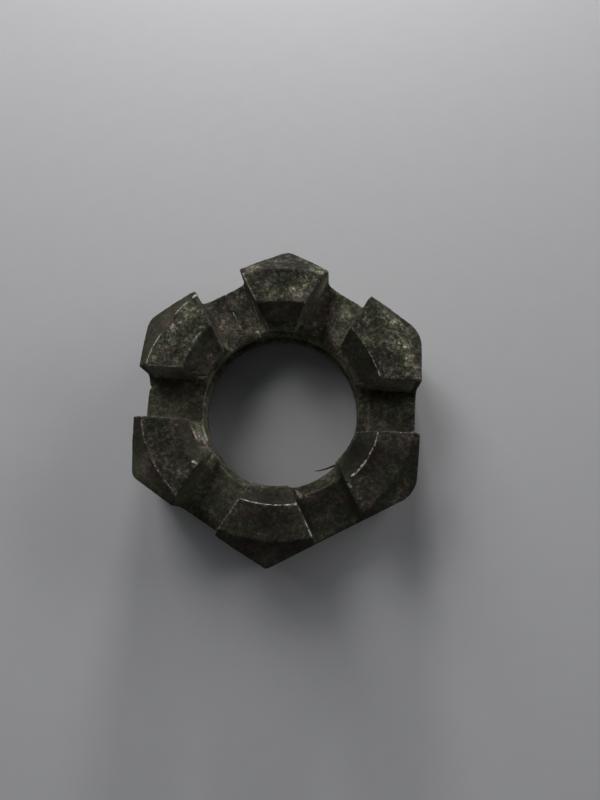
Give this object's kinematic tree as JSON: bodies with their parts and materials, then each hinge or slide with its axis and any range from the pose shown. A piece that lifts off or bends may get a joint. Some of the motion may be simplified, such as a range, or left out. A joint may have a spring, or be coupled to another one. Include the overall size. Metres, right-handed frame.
{
  "type": "castle nut",
  "caption": "Hexagon castle nut of blackened steel with slots across its flats for a split pin, a countersunk threaded bore and rounded, worn corners.",
  "frame": {"origin": "centre of the bearing face, on the thread's axis", "axes": "+Z along the thread from the bearing face to the castellations, +X out through the middle of a slot, +Y through a corner of the hexagon"},
  "size_m": [0.036, 0.0413, 0.0134],
  "materials": {
    "blackened_steel": "dark, oily, mottled oxide with bright worn edges"
  },
  "bodies": {
    "root": {"castle_nut": "blackened_steel"}
  },
  "joints": []
}
